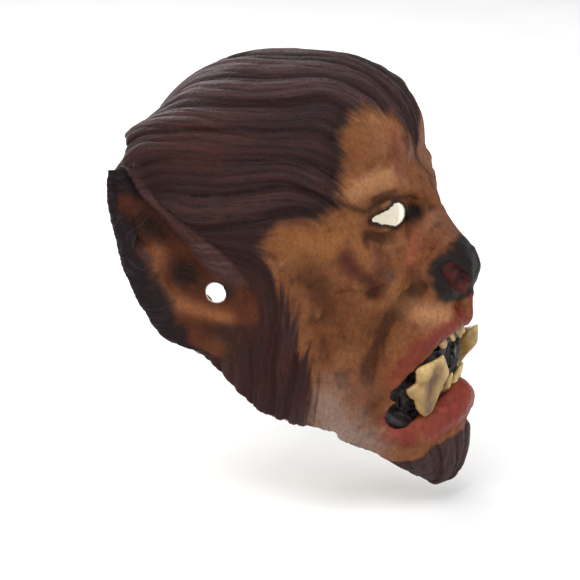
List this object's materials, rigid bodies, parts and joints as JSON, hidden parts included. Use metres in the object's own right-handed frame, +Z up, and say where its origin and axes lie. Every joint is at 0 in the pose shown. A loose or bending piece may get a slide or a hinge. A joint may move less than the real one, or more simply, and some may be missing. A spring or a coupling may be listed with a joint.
{
  "type": "latex halloween mask",
  "caption": "Open-backed werewolf mask in painted latex, with sculpted hair, pointed ears, fangs and an elastic head strap.",
  "frame": {"origin": "middle of the wearer's head, level with the ear holes", "axes": "+Z up, -Y the way the face looks, +X the wearer's left"},
  "size_m": [0.2064, 0.2171, 0.2818],
  "materials": {
    "painted_latex": "satin painted latex",
    "black_latex": "satin black latex",
    "teeth": "semi-gloss, stained",
    "bare_latex": "matte unpainted latex",
    "rivet_metal": "nickel plated",
    "elastic": "woven ribbed elastic"
  },
  "bodies": {
    "mask": {"latex_shell": "painted_latex", "mouth_liner": "black_latex", "upper_teeth": "teeth", "lower_teeth": "teeth", "fang_right": "teeth", "fang_left": "teeth", "strap_patch_right": "bare_latex", "strap_patch_left": "bare_latex", "rivet_right": "rivet_metal", "rivet_left": "rivet_metal", "rivet_cap_right": "rivet_metal", "rivet_cap_left": "rivet_metal"},
    "strap": {"elastic_strap": "elastic", "eyelet_right": "rivet_metal", "eyelet_left": "rivet_metal"}
  },
  "joints": [
    {"name": "strap_swing", "type": "hinge", "parent": "mask", "child": "strap", "pos_m": [0, 0.03, -0.016], "axis": [1, 0, 0], "range_deg": [-80, 130]}
  ]
}
